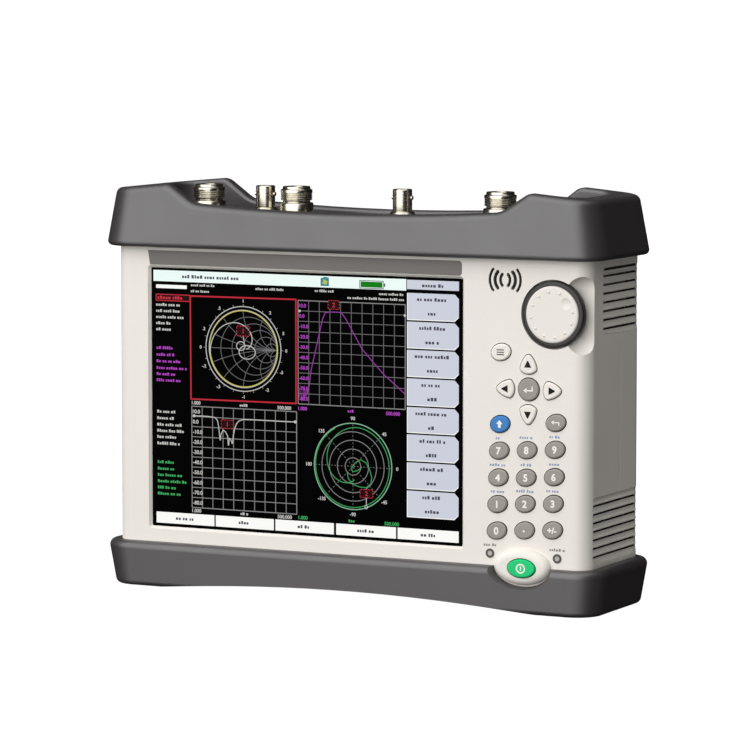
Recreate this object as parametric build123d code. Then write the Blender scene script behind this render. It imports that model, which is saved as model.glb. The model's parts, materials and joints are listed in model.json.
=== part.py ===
from build123d import *
import math
import os

# Handheld vector network analyzer: a two-shell plastic case with rubber end
# bumpers, a large display on the left, keys and a rotary knob on the right,
# and coaxial connectors standing in a recess of the top bumper.
# Millimetres. Front is -Y, +X to the user's right, +Z up, origin at the
# middle of the footprint on the surface it stands on.

os.makedirs("parts", exist_ok=True)

# ---------------------------------------------------------------- dimensions
LIP_HX, LIP_HY, LIP_R = 137.1, 38.1, 15.5      # bumper lip, half width / depth, plan radius
TOP_LIP_Z, EAR_Z = 171.1, 202.3                # top bumper: lower lip, ear peak
RIM_FRONT, RIM_REAR = (193.4, 190.4), (192.0, 189.0)   # rim of the recess at x 84 and in the middle
RIM_OUT_R, RIM_IN_R = 3.6, 2.0                 # rounding of its outer and inner edge
BOT_LIP_Z = 22.7                               # bottom bumper: upper lip
ARCH_H, ARCH_X = 5.2, 104.0                    # arch under the bottom bumper
CASE_HX, CASE_YF, CASE_YR = 129.6, -31.8, 35.4 # case half width, front and rear face
CASE_Z0, CASE_Z1 = 6.5, 184.0                  # case bottom and top
FRONT_R, REAR_R = 8.0, 10.0                    # vertical corner radii of the case
WALL = 3.0
SEAM_Y0, SEAM_Y1 = 7.0, 7.6                    # seal between the two shells
IN_Y = CASE_YF + WALL                          # inner side of the front wall
WIN = (-109.6, 63.05, 30.4, 160.7)             # display window x0, x1, z0, z1
STRIP = (-110.6, 63.05, 162.1, 169.45)          # trim strip above the display
KNOB_X, KNOB_Z = 111.2, 145.25
POCKET_R, POCKET_Y = 16.75, -27.6              # knob pocket, radius and floor
SCOOP = (117.2, 126.3, 163.8, -24.7)           # finger scoop x0, z0, z1, floor y
SHAFT_R = 3.0
RECESS = (120.5, -27.2, 26.4, 186.0)           # top recess half length, y0, y1, floor z
PANEL_Z = CASE_Z1                              # top face of the connector panel
CONN_Y = -1.8
N_X = (-92.0, -42.4, 69.5)
BNC_X = (-59.9, 16.4)
N_R = 7.9375                                   # 5/8 in coupling thread, outside
BNC_R = 4.8
KEY_GAP, KEY_FLANGE = 0.45, 0.9
KEY_FRONT, KEY_BACK = -32.9, -27.4
KEY_TRAVEL = 1.0
MAT_Y = -25.5                                  # front of the rubber keypad mat
BOSS = (96.05, 22.9, 14.7, 8.8, -35.6)         # power boss centre x, z, half axes, front y
POWER = (96.75, 22.6, 7.3, 4.45, -36.6)
LEDS = ((78.4, 28.4), (113.9, 27.9))
SPEAKER = (86.0, 160.95)
VENTS = (                                      # y0, y1, z0, z1, first slot z, pitch, slots
    (-14.2, 31.4, 134.5, 166.9, 137.6, 4.22, 7),
    (-25.0, 31.4, 25.0, 57.1, 28.35, 4.12, 7),
)
BAIL_X, BAIL_Z, BAIL_Y = 70.0, 118.0, 32.2     # tilt bail pivots
BAIL_FOOT = (40.0, 47.0)
CASE_SCREWS = ((-120, 15), (120, 15), (-60, 15), (60, 15), (-120, 175), (120, 175))
LCD_POSTS = ((-119.5, 32), (-119.5, 158), (72.4, 32), (72.4, 158))
PAD_POSTS = ((89.4, 59.2), (104.5, 73.2), (77.5, 131.0), (104.3, 46.8))
FAN = (2.5, 41.0, 19.0, 113.6, 124.6)          # y, z centre, half side, x0, x1

ROUND_KEYS = {                                 # oval keys: x, z on the front face
    "key_menu": (84.05, 126.2), "key_shift": (83.65, 91.4), "key_esc": (113.05, 93.35),
    "key_7": (83.2, 78.45), "key_8": (97.9, 79.4), "key_9": (112.65, 80.4),
    "key_4": (82.8, 65.45), "key_5": (97.45, 66.1), "key_6": (112.25, 67.2),
    "key_1": (82.4, 52.5), "key_2": (97.05, 53.4), "key_3": (111.8, 54.3),
    "key_0": (82.1, 39.6), "key_dot": (96.75, 40.55), "key_plus_minus": (111.5, 41.45),
}
KEY_A, KEY_B, KEY_TILT = 5.2, 4.0, 14           # half axes and tilt of the oval keys
ENTER = (98.7, 108.8, 5.4)
ARROWS = {"key_up": (98.5, 120.9, 0), "key_left": (86.45, 108.7, 90),
          "key_down": (98.5, 96.6, 180), "key_right": (111.05, 108.6, 270)}


# ------------------------------------------------------------------- helpers
def box(x0, x1, y0, y1, z0, z1):
    return Pos((x0 + x1) / 2, (y0 + y1) / 2, (z0 + z1) / 2) * Box(x1 - x0, y1 - y0, z1 - z0)


def cyl_x(y, z, x0, x1, r):
    return Pos((x0 + x1) / 2, y, z) * Rot(0, 90, 0) * Cylinder(r, x1 - x0)


def cyl_y(x, z, y0, y1, r):
    return Pos(x, (y0 + y1) / 2, z) * Rot(90, 0, 0) * Cylinder(r, y1 - y0)


def cyl_z(x, y, z0, z1, r):
    return Pos(x, y, (z0 + z1) / 2) * Cylinder(r, z1 - z0)


def ext_y(sketch, y0, y1):
    """Extrude a sketch drawn in x, z from y0 to y1."""
    return extrude(Plane.XZ.offset(-y1) * sketch, amount=y1 - y0)


def ext_x(sketch, x0, x1):
    """Extrude a sketch drawn in y, z from x0 to x1."""
    return extrude(Plane.YZ.offset(x0) * sketch, amount=x1 - x0)


def turn_y(x, z, points):
    """Solid of revolution about an axis along Y at x, z from (radius, y) points."""
    face = make_face(Polyline(*[(r, y, 0) for r, y in points], close=True))
    return Pos(x, 0, z) * revolve(face, Axis.Y, 360)


def turn_z(x, y, points):
    """Solid of revolution about an axis along Z at x, y from (radius, z) points."""
    face = make_face(Polyline(*[(r, 0, z) for r, z in points], close=True))
    return Pos(x, y, 0) * revolve(face, Axis.Z, 360)


def hexagon_z(x, y, z0, z1, flats):
    return Pos(x, y, z0) * extrude(RegularPolygon(flats / math.sqrt(3), 6), amount=z1 - z0)


def front_edges(part, y, tol=0.01):
    return [e for e in part.edges() if abs(e.bounding_box().min.Y - y) < tol
            and abs(e.bounding_box().max.Y - y) < tol]


def vertical_edges(part, y, tol=0.01):
    return [e for e in part.edges() if abs(e.bounding_box().min.Y - y) < tol
            and abs(e.bounding_box().max.Y - y) < tol
            and e.bounding_box().size.Z > 50 and e.bounding_box().size.X < 0.01]


def save(shape, name):
    export_step(shape, "parts/" + name + ".step")


def group(solids):
    return Compound(children=list(solids))


# ------------------------------------------------------------- key outlines
def arrow_sketch(grow=0.0):
    with BuildSketch() as pick:
        with BuildLine():
            ThreePointArc((-4.4, -2.7), (-3.1, 1.6), (0, 5.2))
            ThreePointArc((0, 5.2), (3.1, 1.6), (4.4, -2.7))
            ThreePointArc((4.4, -2.7), (0, -4.7), (-4.4, -2.7))
        make_face()
        fillet(pick.vertices(), 1.7)
    return offset(pick.sketch, amount=grow) if grow else pick.sketch


def key_sketch(name, grow=0.0):
    if name in ROUND_KEYS:
        x, z = ROUND_KEYS[name]
        return Pos(x, z) * Rot(0, 0, KEY_TILT) * Ellipse(KEY_A + grow, KEY_B + grow)
    if name == "key_enter":
        return Pos(ENTER[0], ENTER[1]) * Circle(ENTER[2] + grow)
    if name == "power_button":
        return Pos(POWER[0], POWER[1]) * Ellipse(POWER[2] + grow, POWER[3] + grow)
    x, z, a = ARROWS[name]
    return Pos(x, z) * Rot(0, 0, a) * arrow_sketch(grow)


KEYS = list(ROUND_KEYS) + ["key_enter"] + list(ARROWS) + ["power_button"]


def key_centre(name):
    if name in ROUND_KEYS:
        return ROUND_KEYS[name]
    if name == "key_enter":
        return ENTER[:2]
    if name == "power_button":
        return POWER[:2]
    return ARROWS[name][:2]


# ------------------------------------------------------------------ shell blanks
def vent_face(y0, y1, z0, z1, inset=0.0):
    """Vent outline in y, z with a straight top and a bowed bottom edge."""
    a, b, lo, hi = y0 + inset, y1 - inset, z0 + inset, z1 - inset
    with BuildSketch() as sk:
        with BuildLine():
            Polyline((a, lo + 1.0), (a, hi), (b, hi), (b, lo + 1.0))
            ThreePointArc((b, lo + 1.0), ((a + b) / 2, lo), (a, lo + 1.0))
        make_face()
        fillet(sk.vertices(), max(0.5, 2.0 - inset))
    return sk.sketch


vent_windows = [ext_x(vent_face(*v[:4]), CASE_HX - 8, CASE_HX + 5) for v in VENTS]
panel_cut = box(-104, 104, -24, 23.2, CASE_Z1 - WALL - 1, CASE_Z1 + 2)


def case_outer(grow=0.0, z0=CASE_Z0, z1=CASE_Z1):
    b = box(-CASE_HX - grow, CASE_HX + grow, CASE_YF - grow, CASE_YR + grow, z0, z1)
    b = fillet(vertical_edges(b, CASE_YF - grow), FRONT_R + grow)
    b = fillet(vertical_edges(b, CASE_YR + grow), REAR_R + grow)
    return b


blank = case_outer()
inner = box(-CASE_HX + WALL, CASE_HX - WALL, IN_Y, CASE_YR - WALL, CASE_Z0 + WALL, CASE_Z1 - WALL)
inner = fillet(vertical_edges(inner, IN_Y), 5.0)
inner = fillet(vertical_edges(inner, CASE_YR - WALL), 7.0)

# ----------------------------------------------------------------- front case
front = (blank - inner) & box(-200, 200, -60, SEAM_Y0, 0, 250)
front += cyl_y(KNOB_X, KNOB_Z, IN_Y, -19.6, 20.5) & box(0, 127.0, -60, 60, 0, 250)
front += box(115, 127.0, IN_Y, SCOOP[3] + WALL, SCOOP[1] - 3.4, SCOOP[2] + 3.4)
for x, z in CASE_SCREWS:
    front += cyl_y(x, z, IN_Y, SEAM_Y0, 4.5)
for x, z in LCD_POSTS:
    front += cyl_y(x, z, IN_Y, -21.3, 2.2)
for x, z in PAD_POSTS:
    front += cyl_y(x, z, IN_Y, MAT_Y, 1.8)
# raised oval boss round the power button
boss = ext_y(Pos(BOSS[0], BOSS[1]) * Ellipse(BOSS[2], BOSS[3]), BOSS[4], IN_Y)
boss = fillet(front_edges(boss, BOSS[4]), 3.5)
front += boss
# knob pocket and finger scoop that runs out through the right corner
front -= cyl_y(KNOB_X, KNOB_Z, -60, POCKET_Y, POCKET_R)
sx0, sz0, sz1, sy = SCOOP
scoop = ext_y(Pos(sx0 + 22, (sz0 + sz1) / 2) * RectangleRounded(44, sz1 - sz0, 10), -60, sy)
scoop = fillet(front_edges(scoop, sy), 6.5)
front -= scoop
front -= cyl_y(KNOB_X, KNOB_Z, -60, 0, SHAFT_R + 0.3)
# display window with a bevelled surround
wx, wz = (WIN[0] + WIN[1]) / 2, (WIN[2] + WIN[3]) / 2
ww, wh = WIN[1] - WIN[0], WIN[3] - WIN[2]
front -= ext_y(Pos(wx, wz) * RectangleRounded(ww, wh, 0.8), -60, 0)
bevel = loft([Plane.XZ.offset(-(CASE_YF - 0.01)) * Pos(wx, wz) * RectangleRounded(ww + 2.4, wh + 2.4, 2.0),
              Plane.XZ.offset(-(CASE_YF + 1.5)) * Pos(wx, wz) * RectangleRounded(ww, wh, 0.8)], ruled=True)
front -= bevel
# trim strip seat
strip_face = make_face(Polyline((STRIP[0], STRIP[3]), (STRIP[1], STRIP[3]), (STRIP[1], STRIP[2]),
                                (STRIP[0] + 1.1, STRIP[2]), close=True))
strip_face = fillet([v for v in strip_face.vertices() if v.X > 0], 1.8)
front -= ext_y(strip_face, -60, CASE_YF + 0.5)
# key holes, lamp holes, speaker slots
for k in KEYS:
    front -= ext_y(key_sketch(k, KEY_GAP), -60, IN_Y + 0.01)
for x, z in LEDS:
    front -= cyl_y(x, z, -60, 0, 2.25)
for apex, r, h, slot_w in ((2.5, 4.2, 2.7, 1.5), (5.35, 6.0, 3.9, 1.75), (8.1, 8.2, 5.1, 1.35)):
    t = math.asin(h / r)
    wedge = make_face(Polyline((0, 0), (20 * math.cos(t), 20 * math.sin(t)),
                               (20 * math.cos(t), -20 * math.sin(t)), close=True))
    arc_slot = (Circle(r + slot_w / 2) - Circle(r - slot_w / 2)) & wedge
    for q in (1, -1):
        arc_slot += Pos(r * math.cos(t), q * r * math.sin(t)) * Circle(slot_w / 2)
    for a in (0, 180):
        front -= ext_y(Pos(SPEAKER[0], SPEAKER[1]) * Rot(0, 0, a) * Pos(apex - r, 0) * arc_slot, -60, 0)
for w in vent_windows:
    front -= w
front -= panel_cut
for x, z in CASE_SCREWS:
    front -= cyl_y(x, z, -8, SEAM_Y0 + 1, 1.5)
for x, z in LCD_POSTS:
    front -= cyl_y(x, z, -26.5, -20, 1.0)
for x, z in PAD_POSTS:
    front -= cyl_y(x, z, -28, -20, 0.8)
save(front, "front_case")

# ------------------------------------------------------------------ rear case
rear = (blank - inner) & box(-200, 200, SEAM_Y1, 60, 0, 250)
ch_y = 28.4                                    # floor of the bail channel
bx, bz = BAIL_X, BAIL_Z
arm0, arm1 = bx - 4.2, bx + 4.2
f0, f1 = BAIL_FOOT[0] - 1.0, BAIL_FOOT[1] + 1.0
for s in (-1, 1):
    x0, x1 = sorted((s * (arm0 - WALL), s * (arm1 + WALL)))
    rear += box(x0, x1, ch_y - WALL, CASE_YR - 1, f0 - WALL, bz + 3.6 + WALL)
rear += box(-(arm0 - WALL), arm0 - WALL, ch_y - WALL, CASE_YR - 1, f0 - WALL, f1 + WALL)
rear += box(-17, 17, ch_y - WALL, CASE_YR - 1, 28, f0)
for x, z in CASE_SCREWS:
    rear += cyl_y(x, z, SEAM_Y1, CASE_YR - 1, 4.5)
for s in (-1, 1):
    x0, x1 = sorted((s * arm0, s * arm1))
    rear -= box(x0, x1, ch_y, 60, f0, bz + 3.6)
rear -= box(-arm1, arm1, ch_y, 60, f0, f1)
rear -= fillet([e for e in box(-14, 14, ch_y, 60, 31, f1).edges() if e.bounding_box().size.Y > 20], 3.0)
# battery opening with a ledge
rear -= box(-47, 47, 0, 60, 57, 107)
rear -= fillet([e for e in box(-50, 50, 33.9, 60, 54, 110).edges() if e.bounding_box().size.Y > 20], 3.0)
# bare shallow field on the upper rear
rear -= fillet([e for e in box(-75, 75, CASE_YR - 0.5, 60, 130, 158).edges()
                if e.bounding_box().size.Y > 20], 3.0)
for x, z in CASE_SCREWS:
    rear -= cyl_y(x, z, 0, 60, 1.7)
    rear -= cyl_y(x, z, CASE_YR - 2.8, 60, 3.3)
for s in (-1, 1):
    x0, x1 = sorted((s * (arm0 - WALL), s * (arm1 + WALL)))
    rear -= cyl_x(BAIL_Y, bz, x0, x1, 2.0)
for w in vent_windows:
    rear -= w
rear -= panel_cut
save(rear, "rear_case")

seal = (case_outer(-0.5, CASE_Z0 + 0.5, CASE_Z1 - 0.5) & box(-200, 200, SEAM_Y0, SEAM_Y1, 0, 250)) \
    - box(-CASE_HX + 2.6, CASE_HX - 2.6, 0, 20, CASE_Z0 + 2.6, CASE_Z1 - 2.6)
for w in vent_windows:
    seal -= w
seal -= panel_cut
save(group(seal.solids()), "case_seal")

# --------------------------------------------------------------- top bumper
def plan(hx, hy, r, z):
    return Pos(0, 0, z) * RectangleRounded(2 * hx, 2 * hy, r)


top = loft([plan(LIP_HX, LIP_HY, LIP_R, TOP_LIP_Z),
            plan(LIP_HX - 6.4, LIP_HY - 3.9, LIP_R - 2.5, EAR_Z + 4)], ruled=True)


def skyline(end, mid):
    """Everything above the rim and the ears, drawn in x, z; the rim dips from end to mid."""
    with BuildSketch() as sk:
        with BuildLine():
            ThreePointArc((-84, end), (0, mid), (84, end))
            Polyline((84, end), (98.6, EAR_Z + 0.6), (140, EAR_Z - 3.2), (140, 240),
                     (-140, 240), (-140, EAR_Z - 3.2), (-98.6, EAR_Z + 0.6), (-84, end))
        make_face()
        fillet([v for v in sk.vertices() if abs(abs(v.X) - 84) < 0.1], 14)
        fillet([v for v in sk.vertices() if abs(abs(v.X) - 98.6) < 0.1], 7)
    return sk.sketch


top -= ext_y(skyline(RIM_FRONT[0], RIM_FRONT[1]), -60, 0)
top -= ext_y(skyline(RIM_REAR[0], RIM_REAR[1]), 0, 60)
ry = (RECESS[1] + RECESS[2]) / 2
top -= Pos(0, ry, RECESS[3]) * extrude(RectangleRounded(2 * RECESS[0], RECESS[2] - RECESS[1], 11), amount=60)
rim = [e for e in top.edges() if e.bounding_box().min.Z > RECESS[3] + 1.5]


def in_recess(e):
    b = e.bounding_box()
    return b.min.Y > RECESS[1] - 3.2 and b.max.Y < RECESS[2] + 3.2 and max(-b.min.X, b.max.X) < RECESS[0] + 3.2


top = fillet([e for e in rim if not in_recess(e)], RIM_OUT_R)
top = fillet([e for e in top.edges() if e.bounding_box().min.Z > RECESS[3] + 1.5 and in_recess(e)
              and e.bounding_box().size.Z < 40], RIM_IN_R)
top = fillet([e for e in top.edges() if e.bounding_box().max.Z < TOP_LIP_Z + 0.01], 2.3)
top -= case_outer(0.05, 100, CASE_Z1)
top -= box(-103, 103, -22.6, 21.8, 150, 220)
save(top, "top_bumper")

# ------------------------------------------------------------ bottom bumper
bot = loft([plan(LIP_HX - 3.6, LIP_HY - 2.8, LIP_R - 1.5, 0),
            plan(LIP_HX, LIP_HY, LIP_R, BOT_LIP_Z)], ruled=True)
bot = fillet([e for e in bot.edges() if e.bounding_box().max.Z < 0.01], 2.8)
bot = fillet([e for e in bot.edges() if e.bounding_box().min.Z > BOT_LIP_Z - 0.01], 3.2)
with BuildSketch(Plane.XZ) as arch:
    with BuildLine():
        ThreePointArc((-ARCH_X, 0), (0, ARCH_H), (ARCH_X, 0))
        Line((ARCH_X, 0), (-ARCH_X, 0))
    make_face()
bot -= extrude(arch.sketch, amount=60, both=True)
bot -= case_outer(0.05, CASE_Z0, 100)
# notch with a flared rim round the power boss
notch_sk = Pos(BOSS[0], BOSS[1]) * Ellipse(BOSS[2] + 0.8, BOSS[3] + 0.8)
bot -= ext_y(notch_sk, -60, CASE_YF + 0.2)
flare = loft([Plane.XZ.offset(-(CASE_YF - 2.6)) * Pos(BOSS[0], BOSS[1]) * Ellipse(BOSS[2] + 0.8, BOSS[3] + 0.8),
              Plane.XZ.offset(-(CASE_YF - 6.6)) * Pos(BOSS[0], BOSS[1]) * Ellipse(BOSS[2] + 2.5, BOSS[3] + 2.6)])
bot -= flare
save(bot, "bottom_bumper")

# ------------------------------------------------------------- trim and display
save(ext_y(offset(strip_face, amount=-0.1), CASE_YF - 0.15, CASE_YF + 0.5), "name_strip")
save(ext_y(Pos(wx, wz) * RectangleRounded(ww - 0.4, wh - 0.4, 0.6), -30.3, -28.9), "display_lens")
save(ext_y(Pos(wx, wz) * (RectangleRounded(ww - 0.4, wh - 0.4, 0.6) - RectangleRounded(ww - 5, wh - 5, 0.6)),
           -28.9, -28.3), "display_gasket")
lcd = box(-115.5, 69.6, -28.3, -21.3, 24.6, 165.8)
save(lcd, "lcd_module")
brk = box(-122.5, 75.4, -21.3, -19.8, 29, 161) - box(-90, 45, -22, -19, 50, 140)
for x, z in LCD_POSTS:
    brk -= cyl_y(x, z, -25, -15, 1.0)
stand_xz = ((-100, 40), (-100, 150), (55, 40), (55, 150))
save(brk, "lcd_bracket")
board_y = -14.0
save(group(cyl_y(x, z, -19.8, board_y, 2.5) for x, z in stand_xz), "board_standoffs")

# -------------------------------------------------------------------- keypad
mat_pts = [(76.2, 30.2), (84, 30.2), (84, 12), (107, 12), (107, 30.2), (121, 30.2), (121, 121), (103, 121),
           (103, 124.6), (92, 124.6), (92, 133.2), (76.2, 133.2)]
mat_face = make_face(Polyline(*mat_pts, close=True))
mat = ext_y(mat_face, MAT_Y, MAT_Y + 1.2)
for k in KEYS:
    x, z = key_centre(k)
    mat += cyl_y(x, z, MAT_Y - 0.6, MAT_Y + 0.5, 2.4)
pad_board = ext_y(mat_face, MAT_Y + 1.2, MAT_Y + 2.8)
screws_small = []
for x, z in PAD_POSTS:
    mat -= cyl_y(x, z, -30, -20, 0.8)
    pad_board -= cyl_y(x, z, -30, -20, 0.8)
    screws_small.append(cyl_y(x, z, -28, MAT_Y + 2.8, 0.8) + cyl_y(x, z, MAT_Y + 2.8, MAT_Y + 4.0, 1.7))
for x, z in LCD_POSTS:
    screws_small.append(cyl_y(x, z, -26.5, -19.8, 1.0) + cyl_y(x, z, -19.8, -18.4, 2.2))
save(mat, "keypad_mat")
save(pad_board, "keypad_board")
save(group(screws_small), "board_screws")

for k in KEYS:
    tip = POWER[4] if k == "power_button" else KEY_FRONT
    cap = ext_y(key_sketch(k), tip, KEY_BACK)
    cap = fillet(front_edges(cap, tip), 0.9 if k != "power_button" else 0.8)
    cap += ext_y(key_sketch(k, KEY_FLANGE), -28.5, KEY_BACK)
    save(cap, k)

lamp = []
for x, z in LEDS:
    body = cyl_y(x, z, CASE_YF - 0.25, IN_Y, 2.2)
    body = fillet(front_edges(body, CASE_YF - 0.25), 0.2)
    lamp.append(body + cyl_y(x, z, IN_Y, IN_Y + 1.0, 3.0))
save(group(lamp), "led_lenses")

# ---------------------------------------------------------------------- knob
ring_pts = [(5.0, -31.0), (13.75, -31.0), (13.75, -32.5), (14.8, -32.5), (15.5, -32.3), (15.95, -31.9), (16.1, -31.4),
            (16.1, -28.9), (15.7, -28.5), (5.0, -28.5)]
save(turn_y(KNOB_X, KNOB_Z, ring_pts), "knob_ring")
cap_pts = [(0, -33.4), (12.6, -33.4), (13.2, -33.25), (13.6, -32.9), (13.7, -32.4), (13.7, -31.0), (5.0, -31.0),
           (5.0, -28.4), (SHAFT_R, -28.4), (SHAFT_R, -31.9), (0, -31.9)]
cap = turn_y(KNOB_X, KNOB_Z, cap_pts)
cap -= Pos(KNOB_X + 7.3, -33.4 - 7.5, KNOB_Z + 5.5) * Sphere(8.0)   # finger dimple
save(cap, "knob_cap")
save(cyl_y(KNOB_X, KNOB_Z, -31.9, -13.0, SHAFT_R), "encoder_shaft")
enc = box(KNOB_X - 7, KNOB_X + 7, -19.6, -11.2, KNOB_Z - 7, KNOB_Z + 7) \
    - cyl_y(KNOB_X, KNOB_Z, -22, -12.6, SHAFT_R + 0.05)
save(enc, "encoder_body")

# ------------------------------------------------------------------ side vents
grilles = []
plate = case_outer(-0.7) - case_outer(-WALL)
pocket = case_outer(-2.0)
lips = case_outer(-0.1) - case_outer(-0.75)
for y0, y1, z0, z1, first, pitch, count in VENTS:
    g = plate & ext_x(vent_face(y0, y1, z0, z1, 0.15), 110, 140)
    g -= pocket & ext_x(vent_face(y0, y1, z0, z1, 2.6), 110, 140)
    for i in range(count):
        z = first + pitch * i
        g += lips & box(115, 140, y0 + 0.8, y1 - 0.6, z + 0.55, z + 1.2)
        g -= box(115, 140, y0 + 1.2, y1 - 1.0, z - 0.6, z + 0.6)
    if z0 > 100:
        g -= box(110, 140, y0 + 1.6, y1 - 1.6, z1 - 1.45, z1 + 1)
    frame_y = max(y0 + 0.15, -23.4)
    g += (box(CASE_HX - WALL - 1.2, CASE_HX - WALL, frame_y, 25.0, z0 - 1.5, z1 + 1.5)
          - box(110, 140, frame_y + 3.0, 22.5, z0 + 1.5, z1 - 1.5))
    grilles.append(g)
save(group(grilles), "vent_grilles")

# ---------------------------------------------------------- connector panel
panel = box(-103.8, 103.8, -23.8, 23.0, PANEL_Z - WALL, PANEL_Z) \
    + box(-108, 108, -27, 26.4, PANEL_Z - WALL - 1.6, PANEL_Z - WALL)
for x in N_X:
    panel -= cyl_z(x, CONN_Y, 170, 190, 6.0)
for x in BNC_X:
    panel -= cyl_z(x, CONN_Y, 170, 190, 4.6)
DC_X, USB_X, HS_X = 43.0, -20.0, -4.0
panel -= cyl_z(DC_X, CONN_Y, 170, 190, 5.2)
panel -= box(USB_X - 4.9, USB_X + 4.9, CONN_Y - 2.7, CONN_Y + 2.7, 170, 190)
panel -= cyl_z(HS_X, CONN_Y, 170, 190, 3.2)
save(panel, "connector_panel")

under = PANEL_Z - WALL - 1.6
n_bodies, bncs, beads, contacts, nuts = [], [], [], [], []
for x in N_X:
    n_bodies.append(turn_z(x, CONN_Y, [
        (4.3, 201.4), (6.9, 201.4), (6.9, 200.2), (N_R, 199.8), (N_R, 194.7), (6.9, 194.4), (6.9, 193.2),
        (8.4, 193.2), (8.4, PANEL_Z), (6.0, PANEL_Z), (6.0, 172.0), (1.5, 172.0), (1.5, 188.6), (4.3, 188.6)]))
    beads.append(turn_z(x, CONN_Y, [(1.5, 188.6), (4.3, 188.6), (4.3, 191.4), (1.5, 191.4)]))
    contacts.append(turn_z(x, CONN_Y, [(0, 172.0), (1.5, 172.0), (1.5, 198.6), (0.85, 198.6), (0.85, 193.0), (0, 193.0)]))
    nuts.append(hexagon_z(x, CONN_Y, under - 3.0, under, 19.0) - cyl_z(x, CONN_Y, 160, 200, 6.0))
for x in BNC_X:
    b = turn_z(x, CONN_Y, [
        (4.05, 201.4), (4.5, 201.4), (BNC_R, 201.0), (BNC_R, 190.6), (5.6, 190.2), (6.5, 189.0), (6.5, PANEL_Z), (4.6, PANEL_Z),
        (4.6, 172.0), (0.7, 172.0), (0.7, 190.0), (4.05, 190.0)])
    b += cyl_x(CONN_Y, 197.2, x - 5.6, x - 4.5, 1.0)
    b += cyl_x(CONN_Y, 197.2, x + 4.5, x + 5.6, 1.0)
    bncs.append(b)
    beads.append(turn_z(x, CONN_Y, [(0.7, 190.0), (2.4, 190.0), (2.4, 196.5), (0.7, 196.5)]))
    contacts.append(cyl_z(x, CONN_Y, 172.0, 195.8, 0.7))
    nuts.append(hexagon_z(x, CONN_Y, under - 2.4, under, 14.0) - cyl_z(x, CONN_Y, 160, 200, 4.6))
save(group(n_bodies), "n_connectors")
save(group(bncs), "bnc_connectors")
save(group(beads), "connector_insulators")
contacts.append(cyl_z(DC_X, CONN_Y, 175.4, 185.2, 1.0))
save(group(contacts), "connector_contacts")
save(group(nuts), "connector_nuts")

dc = turn_z(DC_X, CONN_Y, [(2.75, 186.6), (6.4, 186.6), (6.4, PANEL_Z), (5.2, PANEL_Z), (5.2, 173), (0, 173),
                           (0, 175.4), (2.75, 175.4)])
save(dc, "dc_jack")
usb = box(USB_X - 4.9, USB_X + 4.9, CONN_Y - 2.7, CONN_Y + 2.7, 174, PANEL_Z + 0.6) \
    - box(USB_X - 3.7, USB_X + 3.7, CONN_Y - 1.6, CONN_Y + 1.6, 177, 190) \
    + box(USB_X - 2.6, USB_X + 2.6, CONN_Y - 0.4, CONN_Y + 0.4, 176.5, PANEL_Z - 0.4)
save(usb, "usb_port")
save(turn_z(HS_X, CONN_Y, [(1.3, 185.6), (4.4, 185.6), (4.4, PANEL_Z), (3.2, PANEL_Z), (3.2, 172), (0, 172),
                           (0, 173.5), (1.3, 173.5)]), "headset_jack")

# ------------------------------------------------------------------ electronics
save(box(-116, 72, board_y, board_y + 1.6, 30, 160), "main_board")
rf = box(-104, 84, board_y + 1.6, 7.6, 118, 172.0)
rf = fillet([e for e in rf.edges() if e.bounding_box().size.Y > 15], 3.0)
save(rf, "rf_module")
batt = fillet([e for e in box(-46.4, 46.4, 9.0, 31.8, 57.6, 106.4).edges() if e.bounding_box().size.Y > 20], 3.0)
save(batt, "battery_pack")
door = fillet([e for e in box(-49.8, 49.8, 33.9, CASE_YR, 54.2, 109.8).edges()
               if e.bounding_box().size.Y > 1 and e.bounding_box().size.X < 0.01 and e.bounding_box().size.Z < 0.01], 2.8)
door += box(-46.8, 46.8, 32.4, 33.9, 57.2, 106.8)
door -= fillet([e for e in box(-11, 11, CASE_YR - 1.0, 60, 98, 103).edges() if e.bounding_box().size.Y > 5], 2.4)
save(door, "battery_door")

spk = cyl_y(SPEAKER[0], SPEAKER[1], IN_Y, -26.4, 8.8) + cyl_y(SPEAKER[0], SPEAKER[1], -26.4, -23.0, 5.5)
save(spk, "speaker")

fy, fz, fh, fx0, fx1 = FAN
frame = box(fx0, fx1, fy - fh, fy + fh, fz - fh, fz + fh) - cyl_x(fy, fz, fx0 + 1.2, 140, fh - 1.2)
vane = cyl_x(fy, fz, fx0, fx0 + 2.4, 7.0)
frame -= cyl_x(fy, fz, fx0 - 1, fx0 + 1.3, fh - 2.5)
spokes = box(fx0, fx0 + 1.2, fy - fh + 1, fy + fh - 1, fz - 1.2, fz + 1.2) \
    + box(fx0, fx0 + 1.2, fy - 1.2, fy + 1.2, fz - fh + 1, fz + fh - 1)
frame = frame + vane + spokes + cyl_x(fy, fz, fx0 + 2, fx1 - 1.6, 1.0)
frame += box(fx1, CASE_HX - WALL - 1.2, fy - fh, fy + fh, fz + fh - 1.2, fz + fh)
frame += box(fx1, CASE_HX - WALL - 1.2, fy - fh, fy + fh, fz - fh, fz - fh + 1.2)
save(frame, "fan_frame")
rotor = cyl_x(fy, fz, fx0 + 3.0, fx1 - 0.8, 7.0)
for i in range(7):
    a = 360 / 7 * i
    blade = Pos((fx0 + 3 + fx1 - 0.8) / 2, fy, fz) * Rot(a, 0, 0) * Pos(0, 0, 11.2) * Rot(0, 0, 40) * Box(8.2, 1.2, 10.4)
    rotor += blade
rotor = rotor & cyl_x(fy, fz, fx0 + 2.9, fx1 - 0.7, fh - 2.0)
rotor -= cyl_x(fy, fz, fx0 - 5, fx1 - 1.2, 1.05)
save(rotor, "fan_rotor")

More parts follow.
